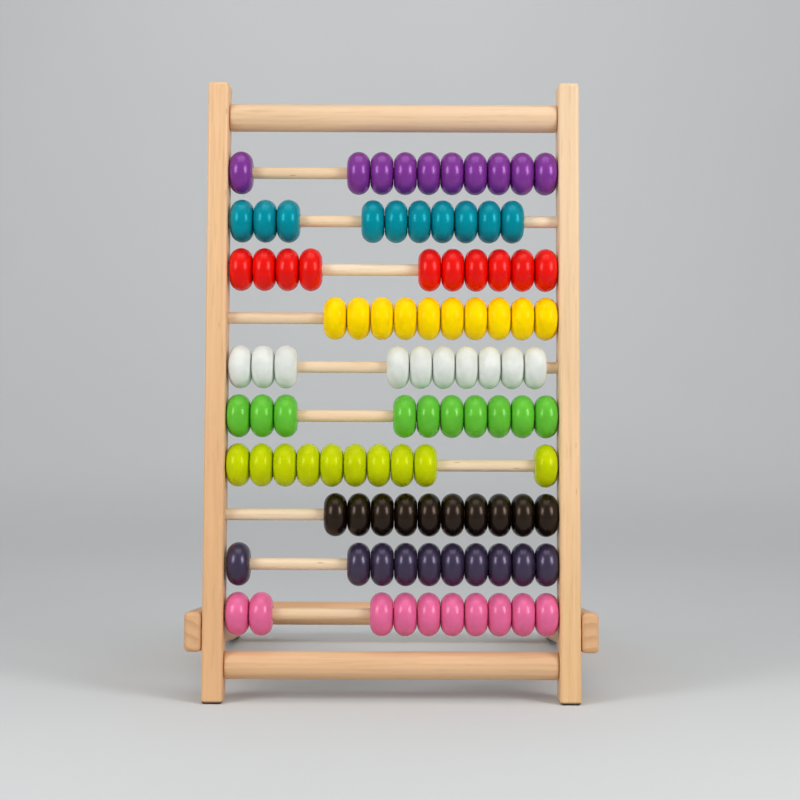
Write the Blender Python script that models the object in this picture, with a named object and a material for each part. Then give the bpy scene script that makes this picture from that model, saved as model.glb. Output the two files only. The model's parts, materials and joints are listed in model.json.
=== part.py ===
"""Vertical abacus: a leaning beech frame with ten rods of ten sliding beads and a fixed rear stand.

Metres, +Z up. The front faces -Y and the row with the purple beads is row 1, at the top.
"""

from math import cos, pi, radians, sin, tan

import bmesh
import bpy

for old in list(bpy.data.objects):
    bpy.data.objects.remove(old, do_unlink=True)

MM = 0.001
GAP = 0.3 * MM  # play between two pieces that touch on the real object

# The frame, measured along the uprights from the floor at their front edge.
LEAN = radians(5.2)
FRAME_WIDTH = 231.0 * MM
UPRIGHT_WIDTH = 13.0 * MM
UPRIGHT_DEPTH = 22.0 * MM
UPRIGHT_LENGTH = 383.9 * MM
UPRIGHT_EDGE = 2.5 * MM
INNER_HALF = FRAME_WIDTH / 2 - UPRIGHT_WIDTH
MID_DEPTH = UPRIGHT_DEPTH / 2

# The two round rails, each with a turned tenon in both uprights.
RAIL_RADIUS = 8.6 * MM
RAIL_TENON_RADIUS = 5.5 * MM
RAIL_TENON_LENGTH = 8.5 * MM
RAIL_SHOULDER = 1.0 * MM
TOP_RAIL_HEIGHT = 363.5 * MM
BOTTOM_RAIL_HEIGHT = 23.1 * MM

# The rods and the beads.
ROWS = 10
BEADS = 10
ROW_PITCH = 30.47 * MM
LOWEST_ROW = 54.3 * MM
ROD_RADIUS = 3.65 * MM
ROD_SEAT = 8.0 * MM
BEAD_RADIUS = 13.4 * MM
BEAD_FACE_RADIUS = 6.3 * MM
BEAD_BORE = 4.0 * MM

# How the beads stand, from the top row: how many are pushed left, the gaps at the rod's left and right ends,
# the pitch (a bead and the play beside it, as turned beads differ a little) and the colour.
COUNT_STATE = (
    (1, 0.0 * MM, 0.0 * MM, 14.59 * MM, "purple"),
    (3, 0.8 * MM, 20.7 * MM, 14.50 * MM, "teal"),
    (4, 0.6 * MM, 0.0 * MM, 14.45 * MM, "red"),
    (0, 0.0 * MM, 0.0 * MM, 14.54 * MM, "yellow"),
    (3, 0.9 * MM, 7.0 * MM, 14.15 * MM, "white"),
    (3, 0.0 * MM, 0.0 * MM, 14.57 * MM, "green"),
    (9, 0.0 * MM, 0.25 * MM, 14.46 * MM, "lime"),
    (0, 0.0 * MM, 0.0 * MM, 14.44 * MM, "brown"),
    (1, 0.9 * MM, 0.0 * MM, 14.43 * MM, "indigo"),
    (2, 0.6 * MM, 0.0 * MM, 14.46 * MM, "pink"),
)

# The stand: two legs square to the uprights, deeper at the heel, and a round crossbar between them.
LEG_THICKNESS = 10.6 * MM
LEG_BOTTOM = 31.5 * MM
LEG_TOP = 55.8 * MM
LEG_LENGTH = 272.9 * MM
LEG_HEEL = 12.0 * MM
LEG_EDGE = 3.0 * MM
LEG_MIDDLE = (LEG_BOTTOM + LEG_TOP) / 2
LEG_INNER = FRAME_WIDTH / 2 + GAP
CROSSBAR_BACK = 247.1 * MM
CROSSBAR_RADIUS = 8.6 * MM
CROSSBAR_TENON_RADIUS = 5.0 * MM
CROSSBAR_TENON_LENGTH = 6.0 * MM
DOWEL_RADIUS = 3.0 * MM
DOWEL_DEPTH = 6.5 * MM
DOWEL_BACK = {"front": 5.5 * MM, "rear": 16.5 * MM}

# How finely the pieces are shaped and shaded.
TIP_CHAMFER = 0.5 * MM  # at the hidden ends of rods, tenons and dowels
ROD_FACETS = 12
RAIL_FACETS = 20
BEAD_FACETS = 16
BEAD_ARC_STEPS = 4
EDGE_STEPS = 2
CORNER = radians(30)  # a board's edges above this angle are rounded
CREASE = radians(60)  # a turned piece is shaded smooth below this angle
CUTTER_LEAD = 0.5  # part of a hole's depth by which its cutter stands out of the face

# The box round the whole object is centred on the origin.
REAR_MOST = LEG_LENGTH * cos(LEAN) + (LEG_TOP - LEG_EDGE) * sin(LEAN)
FRONT_MOST = UPRIGHT_EDGE * sin(LEAN)
FRONT_SHIFT = -(REAR_MOST + FRONT_MOST) / 2


def linear(channel):
    channel /= 255
    return channel / 12.92 if channel < 0.04045 else ((channel + 0.055) / 1.055) ** 2.4


def material(name, red, green, blue, roughness):
    made = bpy.data.materials.new(name)
    made.use_nodes = True
    shader = made.node_tree.nodes["Principled BSDF"]
    shader.inputs["Base Color"].default_value = (linear(red), linear(green), linear(blue), 1)
    shader.inputs["Roughness"].default_value = roughness
    made.diffuse_color = (linear(red), linear(green), linear(blue), 1)
    return made


BEECH = material("beech", 238, 200, 156, 0.5)
BEECH_ROD = material("beech_rod", 240, 214, 178, 0.5)
PAINTS = {
    "purple": material("paint_purple", 130, 55, 150, 0.3),
    "teal": material("paint_teal", 0, 140, 155, 0.3),
    "red": material("paint_red", 230, 35, 22, 0.3),
    "yellow": material("paint_yellow", 252, 212, 0, 0.3),
    "white": material("paint_white", 225, 234, 235, 0.3),
    "green": material("paint_green", 75, 172, 56, 0.3),
    "lime": material("paint_lime", 170, 198, 0, 0.3),
    "brown": material("paint_brown", 45, 35, 28, 0.3),
    "indigo": material("paint_indigo", 60, 55, 75, 0.3),
    "pink": material("paint_pink", 224, 95, 150, 0.3),
}

leaning = bpy.data.objects.new("leaning_frame", None)
bpy.context.scene.collection.objects.link(leaning)
leaning.location = (0, FRONT_SHIFT, 0)
leaning.rotation_euler = (-LEAN, 0, 0)


def place(name, mesh, paint, location):
    """A piece in the leaning frame: x across, y back from the uprights' front faces, z up along them."""
    made = bpy.data.objects.new(name, mesh)
    if paint:
        mesh.materials.append(paint)
    bpy.context.scene.collection.objects.link(made)
    made.parent = leaning
    made.location = location
    return made


def finished(name, shape):
    bmesh.ops.recalc_face_normals(shape, faces=shape.faces)
    mesh = bpy.data.meshes.new(name)
    shape.to_mesh(mesh)
    shape.free()
    return mesh


def add_turned(shape, profile, facets, bored=False, middle=(0, 0, 0)):
    """Turns a profile of (x, radius) points about the x axis, as a bar or, with a bore, as a closed ring."""
    turn = [2 * pi * step / facets for step in range(facets)]
    x, y, z = middle
    rings = []
    for along, radius in profile:
        spots = [(x + along, y + radius * cos(a), z + radius * sin(a)) for a in turn]
        rings.append([shape.verts.new(spot) for spot in spots])
    pairs = list(zip(rings, rings[1:]))
    if bored:
        pairs.append((rings[-1], rings[0]))
    else:
        shape.faces.new(rings[0])
        shape.faces.new(rings[-1])
    for first, second in pairs:
        for step in range(facets):
            after = (step + 1) % facets
            shape.faces.new((first[step], first[after], second[after], second[step]))


def turned(name, profile, facets, bored=False):
    shape = bmesh.new()
    add_turned(shape, profile, facets, bored)
    mesh = finished(name, shape)
    mesh.shade_smooth()
    mesh.set_sharp_from_angle(angle=CREASE)
    return mesh


def mirrored(half):
    """A whole profile from its half at negative x."""
    return half + [(-along, radius) for along, radius in reversed(half)]


def board(name, outline, thickness, edge):
    """A board of this side outline, of (y, z) points, with every sharp edge rounded."""
    shape = bmesh.new()
    ends = []
    for x in (-thickness / 2, thickness / 2):
        ends.append([shape.verts.new((x, y, z)) for y, z in outline])
    shape.faces.new(ends[0])
    shape.faces.new(ends[1])
    count = len(outline)
    for step in range(count):
        after = (step + 1) % count
        shape.faces.new((ends[0][step], ends[0][after], ends[1][after], ends[1][step]))
    bmesh.ops.recalc_face_normals(shape, faces=shape.faces)
    sharp = [e for e in shape.edges if e.calc_face_angle() > CORNER]
    bmesh.ops.bevel(
        shape,
        geom=sharp,
        offset=edge,
        offset_type="OFFSET",
        segments=EDGE_STEPS,
        profile=0.5,
        affect="EDGES",
        clamp_overlap=True,
    )
    return finished(name, shape)


def drill(target, holes):
    """Cuts round holes, each given by its mouth's middle, its radius, its reach along x and its facets."""
    shape = bmesh.new()
    for middle, radius, reach, facets in holes:
        add_turned(shape, [(-CUTTER_LEAD * reach, radius), (reach, radius)], facets, middle=middle)
    name = target.name + "_drill"
    cutter = place(name, finished(name, shape), None, target.location)
    cutter.hide_render = True
    cutter.display_type = "WIRE"
    cut = target.modifiers.new("holes", "BOOLEAN")
    cut.operation = "DIFFERENCE"
    cut.solver = "EXACT"
    cut.object = cutter


def pin_profile(half, radius):
    """A plain round pin with chamfered tips."""
    return mirrored([(-half, radius - TIP_CHAMFER), (-half + TIP_CHAMFER, radius)])


def row_height(row):
    return LOWEST_ROW + (ROWS - row) * ROW_PITCH


# Both ends of an upright are cut level, and so is the heel of a leg.
LEVEL_RISE = UPRIGHT_DEPTH * tan(LEAN)
UPRIGHT_OUTLINE = [
    (0, 0),
    (UPRIGHT_DEPTH, LEVEL_RISE),
    (UPRIGHT_DEPTH, UPRIGHT_LENGTH + LEVEL_RISE),
    (0, UPRIGHT_LENGTH),
]
HEEL_START = LEG_LENGTH - LEG_HEEL
LEG_OUTLINE = [
    (0, LEG_BOTTOM),
    (HEEL_START, HEEL_START * tan(LEAN)),
    (LEG_LENGTH, LEG_LENGTH * tan(LEAN)),
    (LEG_LENGTH, LEG_TOP),
    (0, LEG_TOP),
]

for side, sign in (("left", -1), ("right", 1)):
    upright = place(
        side + "_upright",
        board(side + "_upright", UPRIGHT_OUTLINE, UPRIGHT_WIDTH, UPRIGHT_EDGE),
        BEECH,
        (sign * (INNER_HALF + UPRIGHT_WIDTH / 2), 0, 0),
    )
    inner_face = -sign * UPRIGHT_WIDTH / 2
    holes = []
    for row in range(1, ROWS + 1):
        mouth = (inner_face, MID_DEPTH, row_height(row))
        holes.append((mouth, ROD_RADIUS + GAP, sign * (ROD_SEAT + GAP), ROD_FACETS))
    for height in (TOP_RAIL_HEIGHT, BOTTOM_RAIL_HEIGHT):
        mouth = (inner_face, MID_DEPTH, height)
        reach = sign * (RAIL_TENON_LENGTH + GAP)
        holes.append((mouth, RAIL_TENON_RADIUS + GAP, reach, RAIL_FACETS))
    for back in DOWEL_BACK.values():
        mouth = (-inner_face, back, LEG_MIDDLE)
        holes.append((mouth, DOWEL_RADIUS + GAP, -sign * (DOWEL_DEPTH + GAP), ROD_FACETS))
    drill(upright, holes)

    leg = place(
        side + "_leg",
        board(side + "_leg", LEG_OUTLINE, LEG_THICKNESS, LEG_EDGE),
        BEECH,
        (sign * (LEG_INNER + LEG_THICKNESS / 2), 0, 0),
    )
    inner_face = -sign * LEG_THICKNESS / 2
    holes = [
        (
            (inner_face, CROSSBAR_BACK, LEG_MIDDLE),
            CROSSBAR_TENON_RADIUS + GAP,
            sign * (CROSSBAR_TENON_LENGTH + GAP),
            RAIL_FACETS,
        )
    ]
    for back in DOWEL_BACK.values():
        mouth = (inner_face, back, LEG_MIDDLE)
        holes.append((mouth, DOWEL_RADIUS + GAP, sign * (DOWEL_DEPTH + GAP), ROD_FACETS))
    drill(leg, holes)

    for where, back in DOWEL_BACK.items():
        name = side + "_leg_dowel_" + where
        profile = pin_profile(DOWEL_DEPTH + GAP / 2, DOWEL_RADIUS)
        spot = (sign * (FRAME_WIDTH / 2 + GAP / 2), back, LEG_MIDDLE)
        place(name, turned(name, profile, ROD_FACETS), BEECH_ROD, spot)


def rail_profile(half, radius, tenon_radius, tenon_length):
    """A round bar whose rounded shoulders stand just short of the inner faces, with a tenon beyond each."""
    shoulder = half - GAP
    tip = shoulder + tenon_length
    ease = RAIL_SHOULDER * (1 - cos(pi / 4))
    return mirrored(
        [
            (-tip, tenon_radius - TIP_CHAMFER),
            (-tip + TIP_CHAMFER, tenon_radius),
            (-shoulder, tenon_radius),
            (-shoulder, radius - RAIL_SHOULDER),
            (-shoulder + ease, radius - ease),
            (-shoulder + RAIL_SHOULDER, radius),
        ]
    )


for name, height in (("top_rail", TOP_RAIL_HEIGHT), ("bottom_rail", BOTTOM_RAIL_HEIGHT)):
    profile = rail_profile(INNER_HALF, RAIL_RADIUS, RAIL_TENON_RADIUS, RAIL_TENON_LENGTH)
    place(name, turned(name, profile, RAIL_FACETS), BEECH, (0, MID_DEPTH, height))

profile = rail_profile(LEG_INNER, CROSSBAR_RADIUS, CROSSBAR_TENON_RADIUS, CROSSBAR_TENON_LENGTH)
place(
    "rear_crossbar",
    turned("rear_crossbar", profile, RAIL_FACETS),
    BEECH,
    (0, CROSSBAR_BACK, LEG_MIDDLE),
)


def bead_run(name, count, pitch):
    """Beads in a row that touch, as one turned piece about its own middle, with a bore for the rod."""
    end = (count * pitch - GAP) / 2
    rise = BEAD_RADIUS - BEAD_FACE_RADIUS
    profile = [(-end, BEAD_FACE_RADIUS)]
    for bead in range(count):
        middle = (bead + 0.5 - count / 2) * pitch
        for step in range(1, BEAD_ARC_STEPS + 1):
            angle = pi * step / BEAD_ARC_STEPS
            along = min(middle - pitch / 2 * cos(angle), end)
            profile.append((along, BEAD_FACE_RADIUS + rise * sin(angle)))
    profile.append((end, BEAD_BORE))
    profile.append((-end, BEAD_BORE))
    return turned(name, profile, BEAD_FACETS, bored=True)


def place_run(row, side, count, first_edge, pitch, paint):
    """One pushed-together run: the bead next to the open part of the rod, and the rest behind it."""
    height = row_height(row)
    lead_spot = first_edge + (count - 0.5 if side == "left" else 0.5) * pitch
    name = f"row{row:02d}_{side}_lead"
    place(name, bead_run(name, 1, pitch), paint, (lead_spot, MID_DEPTH, height))
    if count > 1:
        rest_edge = first_edge if side == "left" else first_edge + pitch
        name = f"row{row:02d}_{side}_stack"
        rest_spot = rest_edge + (count - 1) * pitch / 2
        place(name, bead_run(name, count - 1, pitch), paint, (rest_spot, MID_DEPTH, height))


for row, (pushed_left, left_gap, right_gap, pitch, colour) in enumerate(COUNT_STATE, start=1):
    name = f"rod_{row:02d}"
    profile = pin_profile(INNER_HALF + ROD_SEAT, ROD_RADIUS)
    place(name, turned(name, profile, ROD_FACETS), BEECH_ROD, (0, MID_DEPTH, row_height(row)))
    paint = PAINTS[colour]
    if pushed_left:
        place_run(row, "left", pushed_left, -INNER_HALF + GAP / 2 + left_gap, pitch, paint)
    rest = BEADS - pushed_left
    right_edge = INNER_HALF - GAP / 2 - right_gap
    place_run(row, "right", rest, right_edge - rest * pitch, pitch, paint)
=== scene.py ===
"""The look of the vertical abacus: lacquered beech, a hundred glossy beads and a plain pale studio.

Metres, +Z up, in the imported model's frame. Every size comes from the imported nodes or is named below.
"""

import json
import random
from math import atan2, cos, pi, radians, sin, tan

import bmesh
import bpy
from mathutils import Matrix, Vector


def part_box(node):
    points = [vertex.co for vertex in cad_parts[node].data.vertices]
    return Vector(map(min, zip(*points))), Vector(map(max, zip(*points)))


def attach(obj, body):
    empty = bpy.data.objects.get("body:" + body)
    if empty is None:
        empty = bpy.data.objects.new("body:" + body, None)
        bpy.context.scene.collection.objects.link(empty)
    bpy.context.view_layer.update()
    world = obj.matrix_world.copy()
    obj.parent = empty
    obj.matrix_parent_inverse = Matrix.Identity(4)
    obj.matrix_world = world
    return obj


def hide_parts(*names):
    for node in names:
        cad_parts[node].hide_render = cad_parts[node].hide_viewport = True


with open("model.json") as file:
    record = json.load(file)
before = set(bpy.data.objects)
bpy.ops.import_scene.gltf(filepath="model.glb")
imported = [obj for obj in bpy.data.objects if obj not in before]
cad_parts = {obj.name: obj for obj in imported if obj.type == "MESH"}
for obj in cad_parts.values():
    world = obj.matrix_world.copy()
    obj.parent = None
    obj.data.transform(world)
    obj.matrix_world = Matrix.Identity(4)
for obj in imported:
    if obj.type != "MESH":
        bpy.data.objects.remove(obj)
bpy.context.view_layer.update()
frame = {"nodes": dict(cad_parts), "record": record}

MM = 0.001
ROWS = 10
SEED = 10
SIDES = (("left", -1), ("right", 1))  # each side's name and its sign along x

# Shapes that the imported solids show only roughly.
CAD_PLAY = 0.3 * MM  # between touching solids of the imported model
BEAD_PLAY = 0.2 * MM  # between two beads of a run
BEAD_FACE_RADIUS = 6.3 * MM
BEAD_BORE = 4.0 * MM
BEAD_BORE_EASE = 0.5 * MM
BEAD_FACETS = 64
BEAD_ARC_STEPS = 28
BEAD_TILT = radians(0.4)  # beads sit a little askew on their rods
BAR_FACETS = 56
BAR_SHOULDER = 1.7 * MM
BAR_REACH = 0.25 * MM  # a bar's shoulder nearly meets the board
SHOULDER_STEPS = 8
FIT = 0.3 * MM  # between a peg and its hole
TIP_CHAMFER = 0.5 * MM
ROD_SEAT = 8.0 * MM
UPRIGHT_EDGE = 2.2 * MM
LEG_EDGE = 3.0 * MM
LEG_FRONT_HEIGHT = 24.3 * MM
LEG_HEEL = 12.0 * MM
EDGE_STEPS = 6
CORNER = radians(30)  # a board's edges above this angle are rounded
CREASE = radians(35)  # a piece is shaded smooth below this angle

# The tenons at the bars' ends: radius and length.
TENONS = {
    "top_rail": (5.5 * MM, 8.5 * MM),
    "bottom_rail": (5.5 * MM, 8.5 * MM),
    "rear_crossbar": (5.0 * MM, 6.0 * MM),
}

# Paints by row from the top: the name that each one's material is called after, its colour as sRGB, its
# gloss, and how far its shine takes on its colour.
PAINTS = (
    ("purple", (118, 44, 138), 0.86, 0.64),
    ("teal", (0, 133, 148), 0.7, 0.93),
    ("red", (232, 10, 0), 1.0, 0.82),
    ("yellow", (255, 214, 0), 0.22, 0.9),
    ("white", (223, 227, 221), 0.14, 0.0),
    ("green", (95, 184, 49), 0.64, 0.7),
    ("lime", (189, 202, 0), 0.4, 0.88),
    ("brown", (12, 5, 1), 0.42, 0.48),
    ("indigo", (46, 37, 59), 0.68, 0.5),
    ("pink", (226, 102, 151), 0.78, 0.6),
)
PAINT_CLOUDS = (110, 110, 110)  # marks in a metre, along the rod and across it both ways
PAINT_LINES = (60, 420, 420)
PAINT_PEEL = (260, 260, 260)
PAINT_CLOUD_GAIN = (0.92, 1.06)  # the paint's light in its dark and its pale clouds
PAINT_LINE_GAIN = 0.78  # in its lines
PAINT_BEAD_GAIN = 0.80  # on the darkest bead
PAINT_RUB_GAIN = 1.25  # where it is rubbed
BEAD_RUB = (6.2 * MM, 7.1 * MM)  # from a bead's middle: where its rubbed faces start and are full

# Beech pieces: the tones, as sRGB, at the low and the high end of the grain, the way from the middle of the
# log's rings to the piece's middle, and the width of the rings.
LEG_TONES = ((216, 169, 125), (222, 178, 136))
BEECH = {
    # The uprights grow paler towards the top partly as painted light, standing in for light falling off
    # towards the floor, and partly as the wood's own colour, more orange low down.
    "left_upright": (((229, 181, 133), (237, 193, 147)), (38 * MM, -64 * MM), 3.4 * MM),
    "right_upright": (((230, 187, 137), (246, 215, 178)), (38 * MM, 64 * MM), 3.4 * MM),
    "left_leg": (LEG_TONES, (38 * MM, -60 * MM), 7.5 * MM),
    "right_leg": (LEG_TONES, (-6 * MM, -70 * MM), 7.5 * MM),
    "top_rail": (((234, 199, 160), (235, 202, 166)), (9 * MM, 16 * MM), 3.0 * MM),
    "bottom_rail": (((227, 183, 139), (228, 187, 145)), (-14 * MM, 11 * MM), 3.0 * MM),
    "rear_crossbar": (LEG_TONES, (12 * MM, -9 * MM), 3.0 * MM),
}
ROD_PALE = (246, 228, 200)
ROD_WARM = (237, 204, 165)
ROD_PITH = ((-20 * MM, 20 * MM), (12 * MM, 30 * MM))  # the range of each rod's way from the rings' middle
ROD_RING = 3.0 * MM
DOWEL_LENGTH = 13 * MM
DOWEL_PITH = (8 * MM, 8 * MM)

# Marks in the wood: how many there are in a metre, across the grain both ways and along it.
RING_WAVES = (60, 60, 7)
STREAKS = (420, 420, 18)
DASHES = (620, 620, 42)
FIBRES = (1900, 1900, 60)
CLOUDS = (26, 26, 5)
FLECKS = (330, 330, 52)
RING_WAVER = 4.5 * MM
FLECK_TONE = (150, 94, 54)
DARK_WOOD = (1.0, 1.25, 1.6)  # how fast red, green and blue fade as wood gets darker
# Painted contact shadow: the colour that the lowest edge of each upright and leg darkens to, standing in for
# the shade where it meets the floor.
FOOT_SHADOW_TONE = (50, 30, 16)
FOOT_SHADOW_BAND = (2.6 * MM, 0.8 * MM)  # above the lowest point: where the painted contact shadow starts and is full
GRAIN_TURN = {"X": (0, -pi / 2, 0), "Y": (pi / 2, 0, 0), "Z": (0, 0, 0)}

# The studio: a sweep of paper from the floor up into a wall, in a room of the same tone.
BACKDROP = (206, 208, 209)
ROOM_TONE = (190, 192, 193)  # the backdrop's tone as it is lit
ROOM_LIGHT = (0.36, 0.47)  # level with the floor and high up
ROOM_LIGHT_RISE = 0.9  # the upward part of the direction at which the room is brightest
SWEEP_WIDTH = 9.0
SWEEP_FRONT = -0.65
SWEEP_BACK = 1.6
SWEEP_RADIUS = 1.2
SWEEP_TOP = 4.0
SWEEP_STEPS = 24
SWEEP_FADE_SIDES = (0.96, 1.6)
SWEEP_FADE_FRONT = (-0.4, -0.63)

# Lamps: the name, the place, the width and height, the power in watts and what the lamp faces.
OBJECT_AIM = Vector((0, -0.11, 0.19))
BACKDROP_AIM = Vector((0, SWEEP_BACK + SWEEP_RADIUS, 0.9))
SOFTBOXES = (
    ("softbox_left", (-0.80, -0.78, 0.58), (0.38, 0.56), 5.1, OBJECT_AIM),
    ("softbox_right", (0.80, -0.78, 0.58), (0.38, 0.56), 6.25, OBJECT_AIM),
    ("softbox_above", (0.0, -0.36, 1.7), (1.3, 1.0), 6.2, OBJECT_AIM),
    ("softbox_backdrop", (0.0, 1.6, 1.9), (2.4, 0.6), 14.5, BACKDROP_AIM),
)

# The camera, found from the photograph's uprights, rails and rows.
CAMERA_SPOT = (4.7 * MM, -1188.4 * MM, 201.0 * MM)
CAMERA_PITCH = radians(-0.875)
CAMERA_ROLL = radians(0.209)
CAMERA_LENS = 78.21
CAMERA_SENSOR = 36.0


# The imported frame


def box_middle(node):
    low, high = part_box(node)
    return (low + high) / 2


# The frame leans back: the line from the lowest rod to the highest one gives the angle.
rod_line = box_middle("rod_01") - box_middle("rod_10")
LEAN = atan2(rod_line.y, rod_line.z)
LEANING = Matrix.Rotation(-LEAN, 4, "X")
TO_LEANING = LEANING.inverted()
BODY_OF = {}
for body, members in frame["record"]["behaviour"]["bodies"].items():
    for member in members:
        BODY_OF[member] = body


def leaning_box(node):
    """A node's lowest and highest corners along the leaning frame's own axes."""
    spots = [TO_LEANING @ v.co for v in frame["nodes"][node].data.vertices]
    low = Vector([min(s[axis] for s in spots) for axis in range(3)])
    high = Vector([max(s[axis] for s in spots) for axis in range(3)])
    return low, high


# Materials


def linear(colour, gain=1.0):
    """An sRGB colour of 0 to 255 as a linear RGBA value, with its light scaled by gain."""
    out = []
    for channel in colour:
        channel = channel / 255
        value = channel / 12.92 if channel < 0.04045 else ((channel + 0.055) / 1.055) ** 2.4
        out.append(min(1.0, value * gain))
    return (*out, 1.0)


class Nodes:
    """A material's or a world's nodes, with short calls to add nodes with sockets or constants as inputs."""

    def __init__(self, owner, shader="Principled BSDF"):
        owner.use_nodes = True
        self.owner = owner
        self.tree = owner.node_tree
        self.shader = self.tree.nodes[shader]

    def fill(self, node, inputs):
        for key, value in inputs.items():
            if isinstance(value, bpy.types.NodeSocket):
                self.tree.links.new(value, node.inputs[key])
            else:
                node.inputs[key].default_value = value

    def add(self, kind, inputs=None, **settings):
        node = self.tree.nodes.new("ShaderNode" + kind)
        for key, value in settings.items():
            setattr(node, key, value)
        self.fill(node, inputs or {})
        return node

    def math(self, operation, first, second=0.0):
        return self.add("Math", {0: first, 1: second}, operation=operation).outputs[0]

    def smooth(self, value, start, end):
        """0 at start, 1 at end, with a soft change between."""
        inputs = {"Value": value, "From Min": start, "From Max": end}
        return self.add("MapRange", inputs, interpolation_type="SMOOTHSTEP").outputs[0]

    def parts(self, vector):
        return self.add("SeparateXYZ", {0: vector}).outputs

    def scaled(self, vector, factors):
        return self.add("VectorMath", {0: vector, 1: factors}, operation="MULTIPLY").outputs[0]

    def moved(self, vector, offset):
        return self.add("VectorMath", {0: vector, 1: offset}, operation="ADD").outputs[0]

    def noise(self, vector, scale=1.0, detail=2.0, roughness=0.5):
        inputs = {"Vector": vector, "Scale": scale, "Detail": detail, "Roughness": roughness}
        return self.add("TexNoise", inputs).outputs["Fac"]

    def mix(self, factor, first, second, blend="MIX"):
        node = self.add("Mix", data_type="RGBA", blend_type=blend)
        self.fill(node, {0: factor, 6: first, 7: second})
        return node.outputs[2]

    def shaded(self, colour, factor, depth):
        """The colour made darker by up to depth where factor is 1, and redder as dark wood is."""
        dark = (*(1 - depth * fade for fade in DARK_WOOD), 1)
        return self.mix(factor, colour, self.mix(1.0, colour, dark, "MULTIPLY"))

    def bump(self, height, strength, distance):
        inputs = {"Height": height, "Strength": strength, "Distance": distance}
        return self.add("Bump", inputs).outputs[0]

    def sees_background(self):
        """1 for the rays that show a background: the camera's own, mirrored ones and those through glass."""
        rays = self.add("LightPath").outputs
        mirrored_or_clear = self.math("MAXIMUM", rays["Is Glossy Ray"], rays["Is Transmission Ray"])
        return self.math("MAXIMUM", rays["Is Camera Ray"], mirrored_or_clear)


def new_material(name):
    return Nodes(bpy.data.materials.new(name))


def beech(name, tones, grain, length, offset, pith, ring_width, foot=None):
    """Lacquered beech cut from a log: growth rings about a far pith line, fibres and short dark flecks.

    tones are the colours at the two ends of the piece's length, grain is its own axis that the fibres
    follow, offset picks its place in the log and pith is the way from the ring centre to its middle.
    A piece that stands on the floor has its lowest point's height as foot, and gets a painted contact shadow
    there: its lowest edge darkens to a dark brown.
    """
    n = new_material(name)
    coordinates = n.add("TexCoord").outputs
    turn = GRAIN_TURN[grain]
    spot = n.add("Mapping", {"Vector": coordinates["Object"], "Rotation": turn}).outputs[0]
    facing = n.add("Mapping", {"Vector": coordinates["Normal"], "Rotation": turn}).outputs[0]
    log = n.moved(spot, offset)

    waver = n.noise(n.scaled(log, RING_WAVES), detail=2)
    across = n.parts(n.moved(spot, (*pith, 0)))
    square = n.math("ADD", n.math("POWER", across[0], 2), n.math("POWER", across[1], 2))
    radius = n.math("ADD", n.math("SQRT", square), n.math("MULTIPLY", waver, RING_WAVER))
    ring = n.math("FRACT", n.math("DIVIDE", radius, ring_width))
    late_wood = n.math("MULTIPLY", n.smooth(ring, 0.25, 0.9), n.smooth(ring, 1.0, 0.94))

    streaks = n.noise(n.scaled(log, STREAKS), detail=3)
    dashes = n.noise(n.scaled(log, DASHES), detail=2)
    fibres = n.noise(n.scaled(log, FIBRES), detail=3, roughness=0.65)
    clouds = n.noise(n.scaled(log, CLOUDS), detail=2)

    cells = n.add("TexVoronoi", {"Vector": n.scaled(log, FLECKS), "Scale": 1.0}).outputs
    chosen = n.smooth(n.add("SeparateColor", {0: cells["Color"]}).outputs[0], 0.2, 0.16)
    fleck = n.math("MULTIPLY", n.smooth(cells["Distance"], 0.17, 0.05), chosen)

    end_grain = n.smooth(n.math("ABSOLUTE", n.parts(facing)[2]), 0.7, 0.95)
    side_grain = n.math("SUBTRACT", 1.0, end_grain)

    along = n.parts(spot)[2]
    tone = n.mix(n.smooth(along, -length / 2, length / 2), linear(tones[0]), linear(tones[1]))
    wood = n.shaded(tone, n.smooth(clouds, 0.7, 0.3), 0.09)
    wood = n.shaded(wood, late_wood, 0.04)
    wood = n.shaded(wood, n.smooth(streaks, 0.42, 0.75), 0.06)
    wood = n.shaded(wood, n.smooth(dashes, 0.56, 0.72), 0.08)
    wood = n.shaded(wood, n.smooth(fibres, 0.5, 0.85), 0.07)
    wood = n.mix(n.math("MULTIPLY", fleck, 0.55), wood, linear(FLECK_TONE))
    cut = n.shaded(n.shaded(tone, late_wood, 0.15), n.smooth(fibres, 0.4, 0.8), 0.12)
    wood = n.mix(end_grain, wood, cut)
    # Painted contact shadow along the lowest edge, where the piece stands on the floor.
    if foot is not None:
        height = n.parts(coordinates["Object"])[2]
        contact_shadow = n.smooth(height, foot + FOOT_SHADOW_BAND[0], foot + FOOT_SHADOW_BAND[1])
        wood = n.mix(contact_shadow, wood, linear(FOOT_SHADOW_TONE))

    lay = n.math("ADD", n.math("MULTIPLY", fibres, 0.7), n.math("MULTIPLY", streaks, 0.5))
    lay = n.math("SUBTRACT", lay, n.math("MULTIPLY", n.math("MULTIPLY", fleck, side_grain), 0.5))
    sheen = n.math("ADD", n.math("MULTIPLY", fibres, 0.16), n.math("MULTIPLY", end_grain, 0.12))
    n.fill(
        n.shader,
        {
            "Base Color": wood,
            "Roughness": n.math("ADD", sheen, 0.34),
            "Normal": n.bump(lay, 0.14, 0.12 * MM),
            "Specular IOR Level": 0.45,
        },
    )
    return n.owner


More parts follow.
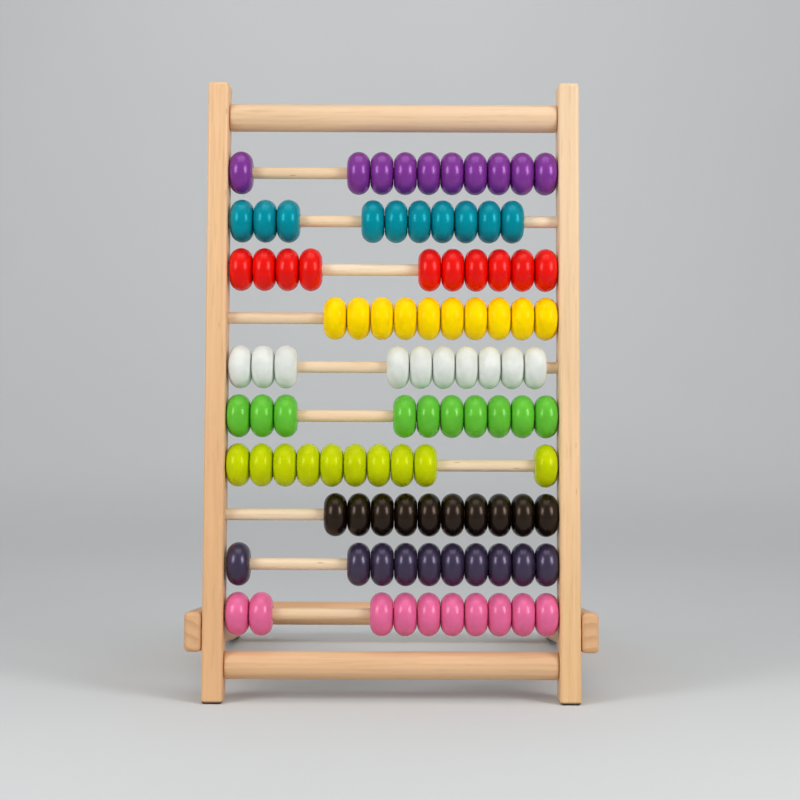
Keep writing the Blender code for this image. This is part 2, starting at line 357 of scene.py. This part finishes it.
def paint(name, colour, gloss, tinting):
    """Sprayed gloss paint on a turned bead: faint wood lines, cloudy cover and rubbed faces."""
    n = new_material(name)
    spot = n.add("TexCoord").outputs["Object"]
    bead = n.add("ObjectInfo").outputs["Random"]
    shift = n.add("CombineXYZ", {0: bead, 1: bead, 2: bead}).outputs[0]
    spot_on_bead = n.moved(spot, shift)

    clouds = n.noise(n.scaled(spot_on_bead, PAINT_CLOUDS), detail=3)
    lines = n.noise(n.scaled(spot_on_bead, PAINT_LINES), detail=1)
    peel = n.noise(n.scaled(spot_on_bead, PAINT_PEEL), detail=1)
    along = n.math("ABSOLUTE", n.parts(spot)[0])
    rubbed = n.math("MULTIPLY", n.smooth(along, *BEAD_RUB), n.smooth(lines, 0.35, 0.7))

    dark, pale = (linear(colour, gain) for gain in PAINT_CLOUD_GAIN)
    cover = n.mix(n.smooth(clouds, 0.3, 0.7), dark, pale)
    lined = n.math("MULTIPLY", n.smooth(lines, 0.45, 0.8), 0.14)
    cover = n.mix(lined, cover, linear(colour, PAINT_LINE_GAIN))
    cover = n.mix(n.math("MULTIPLY", bead, 0.16), cover, linear(colour, PAINT_BEAD_GAIN))
    cover = n.mix(n.math("MULTIPLY", rubbed, 0.30), cover, linear(colour, PAINT_RUB_GAIN))

    light = linear(colour)[:3]
    tint = [tinting * channel / max(light) + 1 - tinting for channel in light]
    n.fill(
        n.shader,
        {
            "Base Color": cover,
            "Roughness": n.math("ADD", n.math("MULTIPLY", clouds, 0.05), 0.235),
            "Normal": n.bump(peel, 0.015, 0.10 * MM),
            "Specular IOR Level": gloss,
            "Specular Tint": (*tint, 1.0),
        },
    )
    return n.owner


def studio_paper(name):
    """Matt backdrop paper with a faint fibre, which fades into the room's tone away from the object."""
    n = new_material(name)
    spot = n.add("TexCoord").outputs["Object"]
    fibre = n.noise(spot, scale=900.0, detail=3)
    clouds = n.noise(spot, scale=2.0, detail=2)
    tone = n.mix(n.smooth(clouds, 0.3, 0.7), linear(BACKDROP, 0.99), linear(BACKDROP, 1.01))
    inputs = {"Base Color": tone, "Roughness": 0.95, "Normal": n.bump(fibre, 0.05, 0.1 * MM)}
    n.fill(n.shader, {**inputs, "Specular IOR Level": 0.1})

    place = n.parts(spot)
    beside = n.smooth(n.math("ABSOLUTE", place[0]), *SWEEP_FADE_SIDES)
    before = n.smooth(place[1], *SWEEP_FADE_FRONT)
    seen = n.math("MULTIPLY", n.math("MAXIMUM", beside, before), n.sees_background())
    room = n.add("Emission", {"Color": linear(ROOM_TONE)})
    both = n.add("MixShader", {0: seen, 1: n.shader.outputs[0], 2: room.outputs[0]})
    n.fill(n.tree.nodes["Material Output"], {"Surface": both.outputs[0]})
    return n.owner


# Shapes


def new_piece(name, mesh, matrix, node):
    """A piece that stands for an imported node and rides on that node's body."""
    made = bpy.data.objects.new(name, mesh)
    bpy.context.scene.collection.objects.link(made)
    made.matrix_world = matrix
    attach(made, BODY_OF[node])
    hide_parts(node)


def to_mesh(name, shape):
    bmesh.ops.recalc_face_normals(shape, faces=shape.faces)
    mesh = bpy.data.meshes.new(name)
    shape.to_mesh(mesh)
    shape.free()
    mesh.shade_smooth()
    mesh.set_sharp_from_angle(angle=CREASE)
    return mesh


def add_turned(shape, profile, facets, bored=False, middle=(0, 0, 0)):
    """Turns a profile of (x, radius) points about the x axis, as a bar or, with a bore, as a closed ring."""
    turn = [2 * pi * step / facets for step in range(facets)]
    x, y, z = middle
    rings = []
    for along, radius in profile:
        spots = [(x + along, y + radius * cos(a), z + radius * sin(a)) for a in turn]
        rings.append([shape.verts.new(spot) for spot in spots])
    pairs = list(zip(rings, rings[1:]))
    if bored:
        pairs.append((rings[-1], rings[0]))
    else:
        shape.faces.new(rings[0])
        shape.faces.new(rings[-1])
    for first, second in pairs:
        for step in range(facets):
            after = (step + 1) % facets
            shape.faces.new((first[step], first[after], second[after], second[step]))


def turned(name, profile, facets, bored=False):
    shape = bmesh.new()
    add_turned(shape, profile, facets, bored)
    return to_mesh(name, shape)


def mirrored(half):
    """A whole profile from its half at negative x."""
    return half + [(-along, radius) for along, radius in reversed(half)]


def bar_profile(half, radius, tenon):
    """A round bar with rounded shoulders and a tenon at both ends; half is its reach with the tenon."""
    tenon_radius, tenon_length = tenon
    shoulder = half - tenon_length + BAR_REACH
    profile = [
        (-half, tenon_radius - TIP_CHAMFER),
        (-half + TIP_CHAMFER, tenon_radius),
        (-shoulder, tenon_radius),
    ]
    for step in range(SHOULDER_STEPS + 1):
        angle = pi / 2 * step / SHOULDER_STEPS
        along = -shoulder + BAR_SHOULDER * (1 - cos(angle))
        profile.append((along, radius - BAR_SHOULDER * (1 - sin(angle))))
    return mirrored(profile)


def pin_profile(half, radius):
    """A plain round pin with chamfered tips."""
    return mirrored([(-half, radius - TIP_CHAMFER), (-half + TIP_CHAMFER, radius)])


def bead_profile(width, radius):
    """A flattened round with flat faces, closed by a bore with eased mouths."""
    half = width / 2
    crown = radius - BEAD_FACE_RADIUS
    profile = [(-half, BEAD_BORE + BEAD_BORE_EASE)]
    for step in range(BEAD_ARC_STEPS + 1):
        angle = pi * step / BEAD_ARC_STEPS
        profile.append((-half * cos(angle), BEAD_FACE_RADIUS + crown * sin(angle)))
    profile.append((half, BEAD_BORE + BEAD_BORE_EASE))
    profile.append((half - BEAD_BORE_EASE, BEAD_BORE))
    profile.append((BEAD_BORE_EASE - half, BEAD_BORE))
    return profile


def board(outline, thickness, edge):
    """A board of this side outline, of (y, z) points, with every sharp edge rounded."""
    shape = bmesh.new()
    ends = []
    for x in (-thickness / 2, thickness / 2):
        ends.append([shape.verts.new((x, y, z)) for y, z in outline])
    shape.faces.new(ends[0])
    shape.faces.new(ends[1])
    count = len(outline)
    for step in range(count):
        after = (step + 1) % count
        shape.faces.new((ends[0][step], ends[0][after], ends[1][after], ends[1][step]))
    bmesh.ops.recalc_face_normals(shape, faces=shape.faces)
    sharp = [e for e in shape.edges if e.calc_face_angle() > CORNER]
    bmesh.ops.bevel(
        shape,
        geom=sharp,
        offset=edge,
        offset_type="OFFSET",
        segments=EDGE_STEPS,
        profile=0.5,
        affect="EDGES",
        clamp_overlap=True,
    )
    return shape


def drilled(name, shape, holes):
    """The board as a mesh with round blind holes: each has its mouth's middle, radius and reach along x."""
    solid = bpy.data.objects.new(name + "_solid", to_mesh(name + "_solid", shape))
    cutter_shape = bmesh.new()
    for middle, radius, reach in holes:
        add_turned(cutter_shape, [(-reach, radius), (reach, radius)], BAR_FACETS, middle=middle)
    cutter = bpy.data.objects.new(name + "_cutter", to_mesh(name + "_cutter", cutter_shape))
    for made in (solid, cutter):
        bpy.context.scene.collection.objects.link(made)
    cut = solid.modifiers.new("holes", "BOOLEAN")
    cut.operation = "DIFFERENCE"
    cut.solver = "EXACT"
    cut.object = cutter
    even = solid.modifiers.new("even_shading", "WEIGHTED_NORMAL")
    even.keep_sharp = True
    bpy.context.view_layer.update()
    graph = bpy.context.evaluated_depsgraph_get()
    mesh = bpy.data.meshes.new_from_object(solid.evaluated_get(graph), depsgraph=graph)
    mesh.name = name
    for made in (solid, cutter):
        bpy.data.objects.remove(made, do_unlink=True)
    return mesh


chance = random.Random(SEED)


def somewhere():
    """A place in the log for the next piece."""
    return tuple(chance.uniform(-3, 3) for _ in range(3))


# Uprights and legs


def mouth_of(node, face, middle):
    """Where a round piece enters a board, seen from the board's own middle."""
    low, high = leaning_box(node)
    return (face, (low.y + high.y) / 2 - middle.y, (low.z + high.z) / 2 - middle.z)


def tenon_hole(bar, face, middle, way):
    """The hole for a bar's tenon in a board's face; way is the sign along x that leads into the board."""
    radius, length = TENONS[bar]
    return mouth_of(bar, face, middle), radius + FIT, way * (length + FIT)


def rod_holes(face, middle, way):
    holes = []
    for row in range(1, ROWS + 1):
        rod = f"rod_{row:02d}"
        low, high = leaning_box(rod)
        radius = (high.y - low.y) / 2 + FIT
        holes.append((mouth_of(rod, face, middle), radius, way * (ROD_SEAT + FIT)))
    return holes


def dowel_holes(side, face, middle, way):
    """The holes for one side's two dowels, each of which lies half in the upright and half in the leg."""
    holes = []
    for where in ("front", "rear"):
        dowel = f"{side}_leg_dowel_{where}"
        low, high = leaning_box(dowel)
        radius = (high.y - low.y) / 2 + FIT
        reach = (high.x - low.x) / 2 + FIT
        holes.append((mouth_of(dowel, face, middle), radius, way * reach))
    return holes


def add_board(node, middle, mesh, grain, length, foot):
    """The finished board with its own wood, set in the leaning frame."""
    tones, pith, ring_width = BEECH[node]
    mesh.materials.append(beech("beech_" + node, tones, grain, length, somewhere(), pith, ring_width, foot))
    new_piece(node + "_shaped", mesh, LEANING @ Matrix.Translation(middle), node)


def add_upright(side, sign):
    node = side + "_upright"
    low, high = leaning_box(node)
    middle = (low + high) / 2
    size = high - low
    level_rise = size.y * tan(LEAN)
    rounded_off = low.z - low.y * tan(LEAN)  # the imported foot's lowest point above its corner on the floor
    half_y = size.y / 2
    half_z = size.z / 2 + rounded_off
    outline = [
        (-half_y, -half_z),
        (half_y, level_rise - half_z),
        (half_y, half_z),
        (-half_y, half_z - level_rise),
    ]
    inner = -sign * size.x / 2
    holes = rod_holes(inner, middle, sign)
    holes += [tenon_hole(rail, inner, middle, sign) for rail in ("top_rail", "bottom_rail")]
    holes += dowel_holes(side, -inner, middle, -sign)
    mesh = drilled(node, board(outline, size.x, UPRIGHT_EDGE), holes)
    add_board(node, middle, mesh, "Z", size.z, -half_z)


def add_leg(side, sign):
    node = side + "_leg"
    low, high = leaning_box(node)
    middle = (low + high) / 2
    size = high - low
    half_y = size.y / 2
    half_z = size.z / 2
    heel_rise = LEG_HEEL * tan(LEAN)
    outline = [
        (-half_y, half_z - LEG_FRONT_HEIGHT),
        (half_y - LEG_HEEL, -half_z),
        (half_y, heel_rise - half_z),
        (half_y, half_z),
        (-half_y, half_z),
    ]
    inner = -sign * size.x / 2
    holes = [tenon_hole("rear_crossbar", inner, middle, sign)]
    holes += dowel_holes(side, inner, middle, sign)
    mesh = drilled(node, board(outline, size.x, LEG_EDGE), holes)
    add_board(node, middle, mesh, "Y", size.y, -half_z)


for side, sign in SIDES:
    add_upright(side, sign)
    add_leg(side, sign)


# Rails, crossbar, rods and dowels


def add_bar(node, tones, pith, ring_width, slot):
    """A turned bar, with tenons where TENONS has its name and as a plain pin elsewhere."""
    low, high = leaning_box(node)
    size = high - low
    half, radius = size.x / 2, size.y / 2
    if node in TENONS:
        profile = bar_profile(half, radius, TENONS[node])
    else:
        profile = pin_profile(half, radius)
    mesh = turned(node + "_turned", profile, BAR_FACETS)
    mesh.materials.append(beech("beech_" + node, tones, "X", size.x, somewhere(), pith, ring_width))
    new_piece(node + "_turned", mesh, LEANING @ Matrix.Translation((low + high) / 2), node)


def rod_tone():
    """A tone between the palest and the warmest rod wood."""
    share = chance.random()
    return tuple(share * warm + (1 - share) * pale for pale, warm in zip(ROD_PALE, ROD_WARM))


for bar in TENONS:
    add_bar(bar, *BEECH[bar], "beech")
for row in range(1, ROWS + 1):
    pith = [chance.uniform(*reach) for reach in ROD_PITH]
    tones = (rod_tone(), rod_tone())
    add_bar(f"rod_{row:02d}", tones, pith, ROD_RING, "beech_rod")

tones = (rod_tone(), rod_tone())
dowel_wood = beech("beech_dowels", tones, "X", DOWEL_LENGTH, somewhere(), DOWEL_PITH, ROD_RING)
for node, shown in frame["nodes"].items():
    if "_dowel_" in node:
        shown.data.materials.clear()
        shown.data.materials.append(dowel_wood)


# Beads


def add_run(node, pitch, mesh):
    """The beads of one packed run, each a piece of its own, turned and tilted a little on the rod."""
    low, high = leaning_box(node)
    count = round((high.x - low.x + CAD_PLAY) / pitch)
    middle = (low + high) / 2
    for bead in range(count):
        along = middle.x + (bead + 0.5 - count / 2) * pitch
        spin = Matrix.Rotation(chance.uniform(0, 2 * pi), 4, "X")
        tilt = Matrix.Rotation(chance.uniform(-BEAD_TILT, BEAD_TILT), 4, "Z")
        spot = Matrix.Translation((along, middle.y, middle.z))
        new_piece(f"{node}_bead_{bead + 1}", mesh, LEANING @ spot @ tilt @ spin, node)


for row, (colour_name, colour, gloss, tinting) in enumerate(PAINTS, start=1):
    slot = "paint_" + colour_name
    low, high = leaning_box(f"row{row:02d}_right_lead")
    pitch = high.x - low.x + CAD_PLAY
    profile = bead_profile(pitch - BEAD_PLAY, (high.z - low.z) / 2)
    mesh = turned(f"bead_{colour_name}", profile, BEAD_FACETS, bored=True)
    mesh.materials.append(paint(slot, colour, gloss, tinting))
    for node in sorted(frame["nodes"]):
        if node.startswith(f"row{row:02d}_"):
            add_run(node, pitch, mesh)


# Studio


def add_backdrop():
    """A sheet of paper that runs from the floor up into a wall."""
    line = [(SWEEP_FRONT, 0.0)]
    for step in range(SWEEP_STEPS + 1):
        angle = pi / 2 * step / SWEEP_STEPS
        line.append((SWEEP_BACK + SWEEP_RADIUS * sin(angle), SWEEP_RADIUS * (1 - cos(angle))))
    line.append((SWEEP_BACK + SWEEP_RADIUS, SWEEP_TOP))
    shape = bmesh.new()
    edges = []
    for x in (-SWEEP_WIDTH / 2, SWEEP_WIDTH / 2):
        edges.append([shape.verts.new((x, y, z)) for y, z in line])
    for step in range(len(line) - 1):
        shape.faces.new((edges[0][step], edges[1][step], edges[1][step + 1], edges[0][step + 1]))
    mesh = bpy.data.meshes.new("backdrop")
    shape.to_mesh(mesh)
    shape.free()
    mesh.shade_smooth()
    mesh.materials.append(studio_paper("backdrop_paper"))
    backdrop = bpy.data.objects.new("backdrop", mesh)
    bpy.context.scene.collection.objects.link(backdrop)


def add_softbox(name, spot, size, power, aim):
    lamp = bpy.data.lights.new(name, "AREA")
    lamp.shape = "RECTANGLE"
    lamp.size, lamp.size_y = size
    lamp.energy = power
    made = bpy.data.objects.new(name, lamp)
    made.location = spot
    made.rotation_euler = (aim - Vector(spot)).to_track_quat("-Z", "Y").to_euler()
    made.visible_camera = False
    bpy.context.scene.collection.objects.link(made)


def add_room():
    """The room around the paper: dim near the floor, and shown as a background in the paper's tone."""
    n = Nodes(bpy.data.worlds.new("studio"), "Background")
    height = n.parts(n.add("TexCoord").outputs["Generated"])[2]
    levels = {"From Max": ROOM_LIGHT_RISE, "To Min": ROOM_LIGHT[0], "To Max": ROOM_LIGHT[1]}
    light = n.add("MapRange", {"Value": height, **levels}).outputs[0]
    n.fill(n.shader, {"Color": n.mix(n.sees_background(), light, linear(ROOM_TONE))})
    bpy.context.scene.world = n.owner


def add_camera():
    camera = bpy.data.cameras.new("camera")
    camera.lens = CAMERA_LENS
    camera.sensor_width = CAMERA_SENSOR
    made = bpy.data.objects.new("camera", camera)
    pitch = Matrix.Rotation(radians(90) + CAMERA_PITCH, 4, "X")
    roll = Matrix.Rotation(CAMERA_ROLL, 4, "Z")
    made.matrix_world = Matrix.Translation(CAMERA_SPOT) @ pitch @ roll
    bpy.context.scene.collection.objects.link(made)
    bpy.context.scene.camera = made


add_backdrop()
for softbox in SOFTBOXES:
    add_softbox(*softbox)
add_room()
add_camera()
bpy.context.scene.view_settings.view_transform = "Standard"
